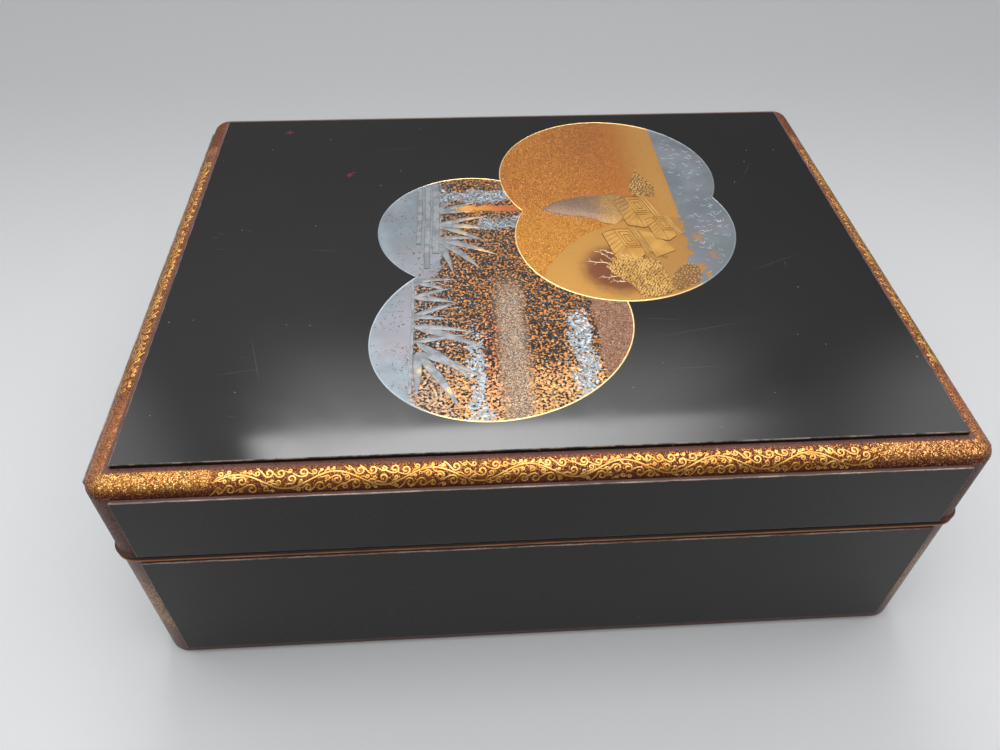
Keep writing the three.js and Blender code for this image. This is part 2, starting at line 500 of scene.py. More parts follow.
# Painted shade: the mouth bead is coloured near black under the panels, partly dark lacquer and partly the
# shade it lies in; near the corners, clear of the panels, it stays brown.
shaded_mouth = ramp(z, LID_WALL_Z[0], LID_WALL_Z[0] - 0.4)
unshaded_corner = times(ramp(from_end, 16, 10), ramp(from_side, 15, 9))
colour = mixed(shaded_mouth, colour, mixed(unshaded_corner, (0.024, 0.010, 0.008), (0.10, 0.045, 0.032)))
lip_line = band(z, PARTING + 0.1, PARTING + 0.5, 0.2)
colour = mixed(lip_line, colour, (0.26, 0.11, 0.05))
gilded = times(gilded, minus(1, post))
feed_named(
    shader, Base_Color=colour, Metallic=times(either(gilded, lip_line), 0.9),
    Roughness=ramp(gilded, 0, 1, 0.45, 0.33), Normal=bits["Normal"],
)

lid_body = start_plan("lid_body", LID_SUNK, *LID_WALL_Z)
pick(lid_body, "edges", upright)
soften(LID_CORNER, CORNER_STEPS)
pick(lid_body, "faces", facing((0, 0, 1)))
for i in range(ROLL_STEPS):
    this, after = (math.pi / 2 * k / ROLL_STEPS for k in (i, i + 1))
    draw_in(
        ROLL_WIDE * (math.cos(this) - math.cos(after)),
        ROLL_HIGH * (math.sin(after) - math.sin(this)),
    )
pick(lid_body, "faces", facing((0, 0, -1)))
mouth_inset = run_bead(PARTING + BEAD_ROOT - LID_WALL_Z[0], LID_SUNK)
draw_in(LID_WALL_INSIDE - mouth_inset)
push(LID_CEILING - PARTING)


def lid_finish(middle, normal):
    return 1 if looks_inward(middle, normal) or normal.z < -0.9 else 0


finish_piece(lid_body, [lid_roll, inside_lacquer], lid_finish, CRISP, true_flats=True)
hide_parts("lid")

# Lid wall panels: black lacquer fields on the four sides, a little proud of the base's below them.
# Like the base's, their ledges are rubbed through to the brown.
LID_PANEL_Z = (94.5, 134.9)

lid_panels = wall_panels("lid_panels", LID_SUNK, *LID_PANEL_Z)
finish_piece(lid_panels, [wall_black, worn_ledge_and_highlight, rubbed_edge_and_highlight], panel_finish, CRISP, true_flats=True)

# Top panel: the lid's broad polished field, raised on a crisp step above the roll.
# Handling has left hairlines, dust, hazy spots and two small chips down to red under-coat.
TOP_MARGIN = 13.3
TOP_EDGE = 0.45
CHIPS = ((-101.3, 76.9, 2.2), (-99, 79.5, 1.2), (-144.4, 130.5, 2.6))
HAIRLINES = (
    (47, -81, 11, 72), (51, -64, -6, 28), (56, -101, 1, 34), (-123, 1, -7, 26), (-140.5, -64, -75, 46),
    (118, -30, 24, 40), (-90, 104, 8, 34), (20, 138, -4, 52), (140, 60, 62, 30), (-175, 16, -28, 7),
    (-172, 20, -34, 8), (-156, 22, -40, 7), (-171, 3, 4, 9), (-158, -96, 9, 34), (-144, -120, -20, 9),
)

top_black, shader, place, colour = black_lacquer(
    "top_black_lacquer", (0.0045, 0.0036, 0.0034), gloss=0.055, haze=0.06, dust=0.18
)


def scratch(place, x, y, heading, length):
    """A fine line from this spot, faded at both ends."""
    c, s = math.cos(math.radians(heading)), math.sin(math.radians(heading))
    start = vector("SUBTRACT", place, (x * MM, y * MM, 0))[0]
    along = vector("DOT_PRODUCT", start, (c, s, 0))["Value"]
    across = vector("DOT_PRODUCT", start, (-s, c, 0))["Value"]
    return times(
        ramp(calc("ABSOLUTE", across), 0.28 * MM, 0.05 * MM),
        ramp(along, 0, length * 0.4 * MM), ramp(along, length * MM, length * 0.6 * MM),
    )


def distance_to(place, x, y, z):
    return vector("DISTANCE", place, (x * MM, y * MM, z * MM))["Value"]


scratched = either(*(scratch(place, *hairline) for hairline in HAIRLINES))
colour = mixed(times(scratched, 0.09), colour, (0.32, 0.31, 0.30))
ragged = times(minus(cloud(place, 600, 3), 0.5), 5 * MM)
for x, y, radius in CHIPS:
    chip = ramp(plus(distance_to(place, x, y, TOP), ragged), radius * MM, radius * 0.5 * MM)
    colour = mixed(times(chip, 0.75), colour, (0.16, 0.016, 0.012))
feed_named(shader, Base_Color=colour, IOR=1.48)

top_panel = start_plan("top_panel", TOP_MARGIN, TOP - TOP_RISE - PANEL_ROOT, TOP)
soften_all(TOP_EDGE)


def top_finish(middle, normal):
    return 0 if is_flat(normal) else 1


finish_piece(top_panel, [top_black, rubbed_edge_and_highlight], top_finish, CRISP, true_flats=True)

# Scroll on the lid's rolls: vine scroll in raised gold, a waving stem with curls that branch off
# into its hollows until they are full. The back roll and the ends of the others stay plain.
WAVE = 40.86
STEM_MIDDLE = -0.25
STEM_SWING = 3.3
STEM_STEP = 0.8
SCROLL_LINE = 0.95
SCROLL_LIFT = 0.16
SCROLL_OVERLAP = 0.2
SCROLL_EDGES = (-6, 5.7)
CURL_RADIUS = 2.0
CURL_ROWS = (3.2, -3.5, -0.9, 0.6)
CURL_TURNS = 1.15
CURL_STEPS = 18
BRANCH_STEPS = 7
FILLING_CURLS = ((2.0, 200), (1.6, 500), (1.25, 700), (0.9, 800), (0.65, 600))
ROLL_SCROLLS = (("front", 7), ("left", 5), ("right", 5))


def stem_at(u):
    return u, STEM_MIDDLE + STEM_SWING * math.sin(math.tau * u / WAVE)


def draw_curl(u, v, radius):
    """A line of (along, across, width) that leaves the stem and winds up into a curl."""
    hand = 1 if stem_at(u)[1] < v else -1
    stems = (stem_at(u + k * 0.5) for k in range(-12, 13))
    near = min(stems, key=lambda spot: math.hypot(spot[0] - u, spot[1] - v))
    start = math.atan2(near[1] - v, near[0] - u) - hand * 0.5
    width = SCROLL_LINE if radius > 1.3 else 0.8 * SCROLL_LINE
    first_u, first_v = u + radius * math.cos(start), v + radius * math.sin(start)
    bend = min(2.2, 1.3 * radius)
    bend_u, bend_v = first_u + hand * bend * math.sin(start), first_v - hand * bend * math.cos(start)
    root = stem_at(near[0] - 1.6 * radius - 1.0)
    if math.hypot(root[0] - bend_u, root[1] - bend_v) > 2.6:
        root = (bend_u - bend, bend_v + hand * 0.8 * bend)
    line = []
    for i in range(BRANCH_STEPS):
        t = i / BRANCH_STEPS
        a, b, c = (1 - t) ** 2, 2 * t * (1 - t), t * t
        along = a * root[0] + b * bend_u + c * first_u
        across = a * root[1] + b * bend_v + c * first_v
        line.append((along, across, width * (0.7 + 0.3 * t)))
    for i in range(CURL_STEPS + 1):
        t = i / CURL_STEPS
        reach = radius * (1 - 0.7 * t)
        angle = start + hand * math.tau * CURL_TURNS * t
        line.append((u + reach * math.cos(angle), v + reach * math.sin(angle), width * (1 + 0.1 * t * t)))
    return line


def curl_spots(long, draw):
    """Where curls are tried: set rows of large ones first, then strays from large to small."""
    step = 2 * CURL_RADIUS + SCROLL_LINE - SCROLL_OVERLAP
    for row, v in enumerate(CURL_ROWS):
        for column in range(1, int(long / step)):
            u = (column + 0.5 * (row % 2)) * step + draw.uniform(-0.3, 0.3)
            yield u, v + draw.uniform(-0.2, 0.2), CURL_RADIUS
    for radius, tries in FILLING_CURLS:
        for _ in range(round(tries * long / WAVE)):
            yield draw.uniform(0, long), draw.uniform(*SCROLL_EDGES), radius


def draw_scroll(long, seed):
    """The lines of a scroll this long: the stem, then the curls that find room."""
    lines = [[(*stem_at(i * STEM_STEP), SCROLL_LINE) for i in range(int(long / STEM_STEP) + 1)]]
    curls = []
    for u, v, radius in curl_spots(long, random.Random(seed)):
        clear = radius + SCROLL_LINE / 2
        if not SCROLL_EDGES[0] + clear < v < SCROLL_EDGES[1] - clear or not clear < u < long - clear:
            continue
        stems = (stem_at(u + k * 0.7) for k in range(-5, 6))
        if min(math.hypot(a - u, b - v) for a, b in stems) < clear + SCROLL_LINE / 2 - SCROLL_OVERLAP:
            continue
        if any(math.hypot(u - a, v - b) < clear + c - SCROLL_OVERLAP for a, b, c in curls):
            continue
        curls.append((u, v, clear))
        lines.append(draw_curl(u, v, radius))
    return lines


def from_points(name, points, faces):
    """A piece made of these points in metres, with its faces turned outward."""
    clear_bench()
    mesh = bpy.data.meshes.new(name)
    mesh.from_pydata(points, [], faces)
    piece = bpy.data.objects.new(name, mesh)
    bpy.context.scene.collection.objects.link(piece)
    take_up(piece)
    turn_outward()
    return piece


def turn_outward():
    bpy.ops.object.mode_set(mode="EDIT")
    bpy.ops.mesh.select_all(action="SELECT")
    bpy.ops.mesh.normals_make_consistent(inside=False)


def lay_lines(name, lines, onto, lift, sunk=0.06, closed=False):
    """Raised lines on a surface: onto turns (along, across) into a point and its normal."""
    points, faces = [], []
    for line in lines:
        start, count = len(points), len(line)
        for i, (u, v, width) in enumerate(line):
            before = line[(i - 1) % count] if closed else line[max(i - 1, 0)]
            after = line[(i + 1) % count] if closed else line[min(i + 1, count - 1)]
            du, dv = after[0] - before[0], after[1] - before[1]
            long = math.hypot(du, dv) or 1
            side_u, side_v = -dv / long * width / 2, du / long * width / 2
            for sign, high in ((1, -sunk), (0, lift), (-1, -sunk)):
                spot, normal = onto(u + sign * side_u, v + sign * side_v)
                points.append((spot + normal * high) * MM)
        for i in range(count if closed else count - 1):
            a, b = start + 3 * i, start + 3 * ((i + 1) % count)
            faces += [(a, a + 1, b + 1, b), (a + 1, a + 2, b + 2, b + 1), (a + 2, a, b, b + 2)]
        if not closed:
            end = start + 3 * (count - 1)
            faces += [(start, start + 2, start + 1), (end, end + 1, end + 2)]
    return from_points(name, points, faces)


def quarter_lengths(wide, high, steps=160):
    """Distances along a quarter ellipse from its foot, with the angle at each."""
    table, total = [(0, 0)], 0
    for i in range(steps):
        a, b = (math.pi / 2 * k / steps for k in (i, i + 1))
        total += math.hypot(wide * (math.cos(a) - math.cos(b)), high * (math.sin(b) - math.sin(a)))
        table.append((total, b))
    return table


ROLL_TABLE = quarter_lengths(ROLL_WIDE, ROLL_HIGH)


def roll_angle(across):
    """The angle on the roll at this distance from the middle of its face."""
    whole = ROLL_TABLE[-1][0]
    length = min(max(whole / 2 + across, 0), whole)
    for (low, a), (high, b) in zip(ROLL_TABLE, ROLL_TABLE[1:]):
        if length <= high:
            return a + (b - a) * (length - low) / (high - low)
    return math.pi / 2


def on_roll(side):
    """Where a spot along and across a roll lies on the lid, and which way it faces."""
    way = 1 if side == "right" else -1

    def place_on(u, v):
        angle = roll_angle(v)
        inset = LID_SUNK + ROLL_WIDE * (1 - math.cos(angle))
        z = LID_WALL_Z[1] + ROLL_HIGH * math.sin(angle)
        out, up = math.cos(angle) / ROLL_WIDE, math.sin(angle) / ROLL_HIGH
        if side == "front":
            return Vector((u, inset - BOX_Y, z)), Vector((0, -out, up)).normalized()
        return Vector((way * (BOX_X - inset), way * u, z)), Vector((way * out, 0, up)).normalized()
    return place_on


def powdered_metal(name, dark, light, rough, break_up=0.0, ground=(0.1, 0.03, 0.012)):
    """Metal powder on lacquer, darkened low on a roll as painted shade; break_up lets the ground show
    where rubbed.
    """
    material, shader, place = new_material(name)
    dusting = cloud(place, 3200)
    # Painted shade: darker toward the foot of a roll.
    painted_low_shade = ramp(millimetres(place)[2], LID_WALL_Z[1] + 5.7, LID_WALL_Z[1] + 1.1, 0, 0.55)
    tone = plus(times(cloud(place, 120, 3), 0.6), times(dusting, 0.4))
    colour = mixed(ramp(tone, 0.32, 0.68), dark, light)
    colour = mixed(painted_low_shade, colour, [c * 0.4 for c in dark])
    gone = ramp(cloud(place, 900, 3), 0.74 - break_up, 0.82 - break_up)
    feed_named(
        shader, Base_Color=mixed(gone, colour, ground),
        Metallic=calc("SUBTRACT", 0.95, gone, use_clamp=True),
        Roughness=ramp(dusting, 0.3, 0.7, rough, rough + 0.12),
    )
    return material


scroll_gold = powdered_metal("scroll_gold", (0.68, 0.31, 0.06), (1, 0.61, 0.19), 0.27, 0.05)

for side, waves in ROLL_SCROLLS:
    long = waves * WAVE
    lines = [[(u - long / 2, v, width) for u, v, width in line] for line in draw_scroll(long, waves)]
    roll_scroll = lay_lines(f"roll_scroll_{side}", lines, on_roll(side), SCROLL_LIFT)
    finish_piece(roll_scroll, [scroll_gold])

# Silver roundel: the lower of the two pictures laid on the lid, a thin skin of lacquer and metal
# with a two-lobed outline. Sheet silver has tarnished at its left, and bands of sprinkled
# orange, gold and silver flakes stand beside it on a dark ground.
SILVER_LOBES = ((-28.4, 17, 52.7, 52.7, 0), (-15.5, -67.8, 68.3, 59.8, 32.1))
SILVER_HEART = (-22.7, -20.6)
GOLD_LOBES = ((57, 70.2, 66, 66, 0), (59.4, 11.8, 66, 59.8, 42.6))
GOLD_HEART = (58.2, 41)
SILVER_SKIN = TOP + 0.06
GOLD_SKIN = TOP + 0.12
SKIN_ROOT = 0.3
ROUNDEL_POINTS = 288
SHEET_EDGES = (-46, -60)


def turned(x, y, tilt):
    c, s = math.cos(math.radians(tilt)), math.sin(math.radians(tilt))
    return x * c + y * s, y * c - x * s


def lobed_outline(lobes, heart, count):
    """A lobed outline about its heart: as far as the further lobe reaches each way."""
    outline = []
    for i in range(count):
        way_x, way_y = math.cos(math.tau * i / count), math.sin(math.tau * i / count)
        reach = 0
        for x, y, long, short, tilt in lobes:
            px, py = turned(heart[0] - x, heart[1] - y, tilt)
            dx, dy = turned(way_x, way_y, tilt)
            px, py, dx, dy = px / long, py / short, dx / long, dy / short
            a, b, k = dx * dx + dy * dy, px * dx + py * dy, px * px + py * py - 1
            reach = max(reach, (math.sqrt(b * b - a * k) - b) / a)
        outline.append((heart[0] + reach * way_x, heart[1] + reach * way_y))
    return outline


def within(spot, lobes, grow=0):
    """Whether a spot lies inside the lobes, or within grow millimetres of them."""
    for x, y, long, short, tilt in lobes:
        along, across = turned(spot[0] - x, spot[1] - y, tilt)
        if math.hypot(along / (long + grow), across / (short + grow)) < 1:
            return True
    return False


def raise_field(name, outline, low, high):
    """A flat-topped field with this outline, raised from one height to another."""
    clear_bench()
    bpy.ops.mesh.primitive_circle_add(vertices=len(outline), radius=1.0, fill_type="NGON")
    piece = bpy.context.object
    piece.name = piece.data.name = name
    for vertex, (x, y) in zip(piece.data.vertices, outline):
        vertex.co = (x * MM, y * MM, low * MM)
    bpy.ops.object.mode_set(mode="EDIT")
    bpy.ops.mesh.select_all(action="SELECT")
    push(high - low)
    turn_outward()
    return piece


# Old silver: blue-grey, with paler rubbed clouds and a faint violet bloom.
tarnish, given, result = new_group(
    "tarnished silver", dict(Place="Vector", Shade="Float"), dict(Colour="Color")
)
tone = ramp(cloud(given["Place"], 46, 4), 0.35, 0.7)
tone = mixed(tone, (0.18, 0.206, 0.226), (0.25, 0.285, 0.31))
bloom = ramp(cloud(given["Place"], 26), 0.5, 0.68)
tone = mixed(times(bloom, 0.5), tone, (0.238, 0.20, 0.222))
feed_named(result, Colour=scaled(tone, given["Shade"]))


def stray(place):
    """A slow wander about nought, for ragged borders."""
    return minus(cloud(place, 240, 4, 0.65), 0.5)


def flecks(place, per_metre, cover):
    """Irregular flecks of leaf: noise cut at the level that leaves this share of the ground covered."""
    level = ramp(cover, 0, 1, 0.68, 0.32)
    return ramp(minus(cloud(place, per_metre, 2, 0.55), level), -0.014, 0.014)


def lie_flat(share, leaning):
    """The tilt of the flakes, laid flat by this share."""
    level = share.id_data.nodes.new("ShaderNodeNewGeometry").outputs["Normal"]
    return knot("ShaderNodeMix", {0: share, 4: leaning, 5: level}, data_type="VECTOR").outputs[1]


silver_skin, shader, place = new_material("silver_roundel_skin", Specular_IOR_Level=0.3)
x, y, _ = millimetres(place)
wander = stray(place)
rag_x, rag_y = plus(x, times(wander, 9)), plus(y, times(wander, 9))
lower = ramp(y, -16, -40)
sheet = ramp(minus(rag_x, ramp(lower, 0, 1, *SHEET_EDGES)), 1.6, -1.6)
pinholes = ramp(cloud(place, 480, 3), 0.63, 0.67)
sheet = minus(sheet, times(sheet, pinholes, ramp(x, -76, -58)))
slow = times(minus(cloud(place, 70), 0.5), 16)
drift_x, drift_y = plus(rag_x, slow), plus(rag_y, slow)
mist = times(band(drift_y, 43, 56, 4), ramp(x, -52, -44))
mist_low = times(band(drift_y, 15, 29, 5), band(drift_x, -27, 8, 5))
drift_left = times(lower, band(drift_x, -35, -25, 3), ramp(y, -40, -95))
drift_right = times(lower, band(drift_x, 16, 28, 3), ramp(y, -44, -66))
silver_bits = flecks(place, 720, either(
    times(mist, 0.8), times(mist_low, 0.66), times(drift_left, 0.62), times(drift_right, 0.64),
    times(ramp(x, -24, -44), 0.24),
))
low_edge = ramp(y, -78, -112)
orange_place = vector("ADD", place, (0.3, 0.1, 0))[0]
orange_bits = flecks(orange_place, 800, ramp(low_edge, 0, 1, 0.41, 0.55))
glints = use(flakes, Place=place, Per_metre=1100, Cover=1, Tilt=0.5)
warm = mixed(glints["Tone"], (0.34, 0.10, 0.03), (0.80, 0.38, 0.10))
ember = times(band(rag_x, -27, -18, 2.5), ramp(y, -52, -76))
warm = mixed(times(ember, 0.55), warm, (0.52, 0.13, 0.06))
warm = mixed(times(low_edge, 0.5), warm, (0.80, 0.46, 0.20))
greyed = ramp(x, -34, -50)
warm = mixed(times(greyed, 0.5), warm, (0.30, 0.22, 0.17))
colour = mixed(orange_bits, (0.014, 0.010, 0.009), warm)
dust = use(flakes, Place=place, Per_metre=2600, Cover=0.62, Tilt=0.4)
sand = times(band(rag_x, -18, -5, 3.5), ramp(y, -22, -50))
sandy = mixed(dust["Flake"], (0.14, 0.095, 0.07), (0.74, 0.54, 0.37))
colour = mixed(times(sand, 0.86), colour, sandy)
dusk = times(ramp(rag_x, 30.6, 31.6), ramp(y, -20, -30))
dusky = mixed(dust["Flake"], (0.16, 0.070, 0.040), (0.46, 0.235, 0.135))
colour = mixed(dusk, colour, dusky)
silver = use(tarnish, Place=place, Shade=1)["Colour"]
bright = mixed(glints["Tone"], (0.26, 0.29, 0.31), (0.50, 0.55, 0.58))
bright = mixed(times(ramp(y, -10, 10), 0.8), bright, silver)
colour = mixed(silver_bits, colour, bright)
streak = times(band(rag_y, 33.5, 39.5, 1.4), ramp(x, -42, -32))
sunset = mixed(ramp(rag_x, -34, -4), (0.66, 0.31, 0.075), (0.42, 0.12, 0.045))
colour = mixed(streak, colour, sunset)
pits = times(ramp(cloud(place, 900), 0.61, 0.65), ramp(cloud(place, 90), 0.44, 0.56))
silver = mixed(times(pits, 0.7), silver, (0.03, 0.027, 0.026))
metal = either(orange_bits, silver_bits, sheet, streak)
feed_named(
    shader, Base_Color=mixed(sheet, colour, silver),
    Metallic=times(metal, minus(1, times(either(sand, dusk), 0.5)), 0.85),
    Roughness=ramp(wander, -0.2, 0.2, 0.34, 0.46),
    Normal=lie_flat(either(sheet, streak), glints["Normal"]),
)

outline = lobed_outline(SILVER_LOBES, SILVER_HEART, ROUNDEL_POINTS)
silver_roundel = raise_field("silver_roundel", outline, TOP - SKIN_ROOT, SILVER_SKIN)
finish_piece(silver_roundel, [silver_skin])

# Bamboo on the silver roundel: raised stalks down its left side and sprays of blades to the right,
# each blade a low ridge of silvered lacquer, a few of them touched with gold.
STALKS = (
    (-58, 58.5, 3, 2.8), (-53.4, 60, -19, 3.2), (-48.6, 63, -6, 4), (-60.9, -30, -112, 1.6),
)
SPRAYS = (
    (-48.6, 33, ((52, 19, 3.0), (24, 27, 3.6), (3, 22, 3.2))),
    (-48.6, 21, ((14, 31, 3.8), (-9, 36, 4.4), (-31, 33, 4.2))),
    (-48.6, 8, ((-2, 24, 3.4), (-26, 37, 4.6), (-50, 38, 4.8), (-74, 33, 4.2))),
    (-61, -30, ((2, 23, 3.0), (-24, 20, 3.6))),
    (-61, -43, ((-13, 25, 3.8), (18, 22, 3.0))),
    (-61, -58, ((22, 27, 3.6), (-9, 18, 3.4))),
    (-61, -65, ((-27, 42, 4.8), (-11, 30, 3.8))),
    (-59, -77, ((9, 27, 3.4), (-45, 40, 4.8))),
    (-58.5, -84, ((-30, 38, 4.6), (-62, 44, 5.0), (-90, 31, 4.6))),
)
BAMBOO_ROOT = SILVER_SKIN - 0.05
BLADE_TOP = SILVER_SKIN + 0.34
STALK_TOP = SILVER_SKIN + 0.26
STALK_KNUCKLES = 3.5
BLADE_SOFT = 20


def draw_blade(points, faces, start, heading, length, width, high, knuckles=0):
    """A pointed leaf with steep edges and a low ridge down its middle, or a flat stalk with knuckles."""
    first, steps = len(points), 36 if knuckles else 12
    shoulder = 0.92 if knuckles else 0.62
    across = ((1, 0), (0.86, shoulder), (0, 1), (-0.86, shoulder), (-1, 0))
    for i in range(steps + 1):
        t = i / steps
        if knuckles:
            half = width / 2 * (1 + 0.25 * max(0, math.cos(math.tau * knuckles * t)) ** 20)
            bend, swell = 0.3 * math.sin(5 * t), 1
        else:
            half = width / 2 * math.sin(math.pi * t ** 0.62) ** 0.9 + 0.02
            bend, swell = 0.025 * length * math.sin(math.pi * t), 0.3 + 0.7 * math.sin(math.pi * t)
        for side, rise in across:
            x, y = turned(length * t, bend + side * half, -heading)
            z = BAMBOO_ROOT + (high - BAMBOO_ROOT) * rise * swell
            points.append(((start[0] + x) * MM, (start[1] + y) * MM, z * MM))
    wide = len(across)
    for i in range(steps):
        a, b = first + wide * i, first + wide * (i + 1)
        faces += [(a + k, a + k + 1, b + k + 1, b + k) for k in range(wide - 1)]
        faces.append((a + wide - 1, a, b, b + wide - 1))
    end = first + wide * steps
    faces.append(tuple(first + k for k in reversed(range(wide))))
    faces.append(tuple(end + k for k in range(wide)))


def on_lid(height):
    return lambda u, v: (Vector((u, v, height)), Vector((0, 0, 1)))


blade_silver, shader, place = new_material("blade_silver", Roughness=0.42, Metallic=0.7)
x, y, _ = millimetres(place)
gilt = either(ramp(x, -40, -28, 0, 0.8), ramp(y, -88, -100))
gilt = times(ramp(cloud(place, 80), 0.5, 0.6), gilt)
leaf_tone = ramp(cloud(place, 240, 3), 0.35, 0.65)
leaf_tone = mixed(leaf_tone, (0.165, 0.172, 0.18), (0.255, 0.267, 0.276))
feed_named(shader, Base_Color=mixed(gilt, leaf_tone, (0.60, 0.42, 0.20)))

points, faces = [], []
for spray_x, spray_y, blades in SPRAYS:
    for heading, length, width in blades:
        draw_blade(points, faces, (spray_x, spray_y), heading, length, width, BLADE_TOP)
bamboo_blades = from_points("bamboo_blades", points, faces)
finish_piece(bamboo_blades, [blade_silver], soft=BLADE_SOFT)

points, faces = [], []
for stalk_x, y_top, y_bottom, width in STALKS:
    draw_blade(points, faces, (stalk_x, y_top), -90, y_top - y_bottom, width, STALK_TOP, STALK_KNUCKLES)
bamboo_stalks = from_points("bamboo_stalks", points, faces)
finish_piece(bamboo_stalks, [blade_silver], soft=BLADE_SOFT)

# Gold roundel: the upper picture, overlapping the silver one. Gold powder is shaded from orange
# flakes at its left to plain gold, a smooth gold hill rises at the lower left,
# and silver sheet, tarnished blue-grey, fills the right edge as water.
HILL = (83.4, -55.5, 79)
HILL_SHADE = (51, -24, 20)
SHORE_X = 93.2

gold_skin, shader, place = new_material("gold_roundel_skin", Metallic=0.85)
x, y, _ = millimetres(place)
wander = stray(place)
spread_x = plus(x, times(wander, 12))
colour = mixed(ramp(spread_x, 62, 88), (0.36, 0.125, 0.026), (0.44, 0.225, 0.058))
colour = mixed(ramp(spread_x, 58, 8), colour, (0.34, 0.115, 0.022))
brown = times(ramp(y, 62, 104), band(x, 22, 60, 16))
colour = mixed(times(brown, 0.6), colour, (0.27, 0.088, 0.022))
sunny = times(ramp(y, 50, 14), ramp(x, 56, 30))
colour = mixed(times(sunny, 0.7), colour, (0.42, 0.175, 0.026))
grainy = times(ramp(y, 52, 34), ramp(x, 60, 40, 0, 0.62))
grainy = either(ramp(x, 64, 22, 0.10, 0.5), grainy)
bits = use(flakes, Place=place, Per_metre=2100, Cover=grainy, Tilt=0.25)
dark_bits = use(flakes, Place=place, Per_metre=2300, Cover=times(grainy, 0.75), Tilt=0.2)
colour = mixed(times(dark_bits["Flake"], 0.5), colour, (0.17, 0.06, 0.014))
colour = mixed(times(bits["Flake"], 0.6), colour, (0.60, 0.29, 0.055))
from_hill = distance_to(place, *HILL[:2], GOLD_SKIN)
hill = ramp(from_hill, (HILL[2] + 0.4) * MM, (HILL[2] - 0.4) * MM)
from_bush = plus(distance_to(place, *HILL_SHADE[:2], GOLD_SKIN), times(wander, 8 * MM))
shaded = ramp(from_bush, (HILL_SHADE[2] + 6) * MM, (HILL_SHADE[2] - 6) * MM)
lit = mixed(shaded, (0.42, 0.215, 0.052), (0.16, 0.055, 0.025))
lit = mixed(ramp(x, 62, 72), lit, (0.38, 0.19, 0.052))
colour = mixed(hill, colour, lit)
ragged = times(wander, ramp(y, 34, 4, 0, 34))
water = ramp(minus(plus(x, ragged), ramp(y, 20, -45, SHORE_X, SHORE_X - 5)), -0.4, 0.4)
broken = ramp(cloud(place, 150, 4, 0.7), 0.53, 0.57)
broken = times(broken, ramp(y, 18, -2), ramp(x, 112, 96))
water = minus(water, times(water, broken))
colour = mixed(water, colour, use(tarnish, Place=place, Shade=0.86)["Colour"])
smooth = either(hill, water, ramp(x, 60, 74))
feed_named(
    shader, Base_Color=colour, Roughness=ramp(wander, -0.2, 0.2, 0.36, 0.46),
    Normal=lie_flat(smooth, bits["Normal"]),
)

outline = lobed_outline(GOLD_LOBES, GOLD_HEART, ROUNDEL_POINTS)
gold_roundel = raise_field("gold_roundel", outline, TOP - SKIN_ROOT, GOLD_SKIN)
finish_piece(gold_roundel, [gold_skin])

# Roundel rims: a bright gold line of raised lacquer drawn round each picture,
# rubbed to silver where it meets the silver sheet.
RIM_WIDE = 1.4
RIM_LIFT = 0.22
RIM_POINTS = 360
LINE_ROOT = 0.3


def rim_metal(name, silver_from, silver_to):
    material, shader, place = new_material(name, Metallic=0.9, Roughness=0.3)
    silvered = plus(millimetres(place)[0], times(stray(place), 8))
    gold = mixed(cloud(place, 300, 3), (0.72, 0.45, 0.16), (0.96, 0.72, 0.36))
    colour = mixed(ramp(silvered, silver_from, silver_to), gold, (0.27, 0.31, 0.34))
    feed_named(shader, Base_Color=colour)
    return material


edge = [(*spot, RIM_WIDE) for spot in lobed_outline(GOLD_LOBES, GOLD_HEART, RIM_POINTS)]
gold_rim = lay_lines("gold_roundel_rim", [edge], on_lid(GOLD_SKIN), RIM_LIFT, LINE_ROOT, closed=True)
finish_piece(gold_rim, [rim_metal("gold_roundel_rim", 91, 95)])
edge = [(*spot, RIM_WIDE) for spot in lobed_outline(SILVER_LOBES, SILVER_HEART, RIM_POINTS)]
hidden = [within(spot, GOLD_LOBES) for spot in edge]
first = next(i for i in range(RIM_POINTS) if hidden[i - 1] and not hidden[i])
order = [(first + i) % RIM_POINTS for i in range(RIM_POINTS)]
edge = [edge[i] for i in order if not hidden[i]]
silver_rim = lay_lines("silver_roundel_rim", [edge], on_lid(SILVER_SKIN), RIM_LIFT, LINE_ROOT)
finish_piece(silver_rim, [rim_metal("silver_roundel_rim", -46, -58)])

# Headland: a low raised bank of dusted lacquer that runs out over the gold from the buildings,
# mauve-brown at its point and golden near the walls.
HEADLAND = (
    (12.5, 34.2), (18, 38.6), (25, 43), (32, 45.6), (41, 46.4), (50, 47.6), (57, 48.4), (63, 46.4),
    (66, 41), (65, 32), (60, 22), (54, 16.6), (48, 19), (41, 24.2), (33, 26.4), (25, 28), (18, 31.4),
)
HEADLAND_TOP = GOLD_SKIN + 0.28
HEADLAND_EDGE = 0.5
FIELD_ROOT = TOP - 0.1

bank_lacquer, shader, place = new_material("headland_lacquer", Metallic=0.6)
bank_dust = use(flakes, Place=place, Per_metre=2400, Cover=0.55, Tilt=0.35)["Flake"]
mauve = mixed(bank_dust, (0.20, 0.125, 0.085), (0.35, 0.225, 0.145))
golden = mixed(bank_dust, (0.34, 0.18, 0.06), (0.60, 0.37, 0.13))
along = plus(millimetres(place)[0], times(stray(place), 26))
colour = mixed(ramp(along, 40, 56), mauve, golden)
feed_named(shader, Base_Color=colour, Roughness=ramp(bank_dust, 0, 1, 0.5, 0.38))

headland = raise_field("headland", HEADLAND, FIELD_ROOT, HEADLAND_TOP)
pick(headland, "edges", lambda edge: all(v.co.z > (HEADLAND_TOP - 0.08) * MM for v in edge.verts))
soften(HEADLAND_EDGE, EDGE_STEPS)
finish_piece(headland, [bank_lacquer], soft=60)

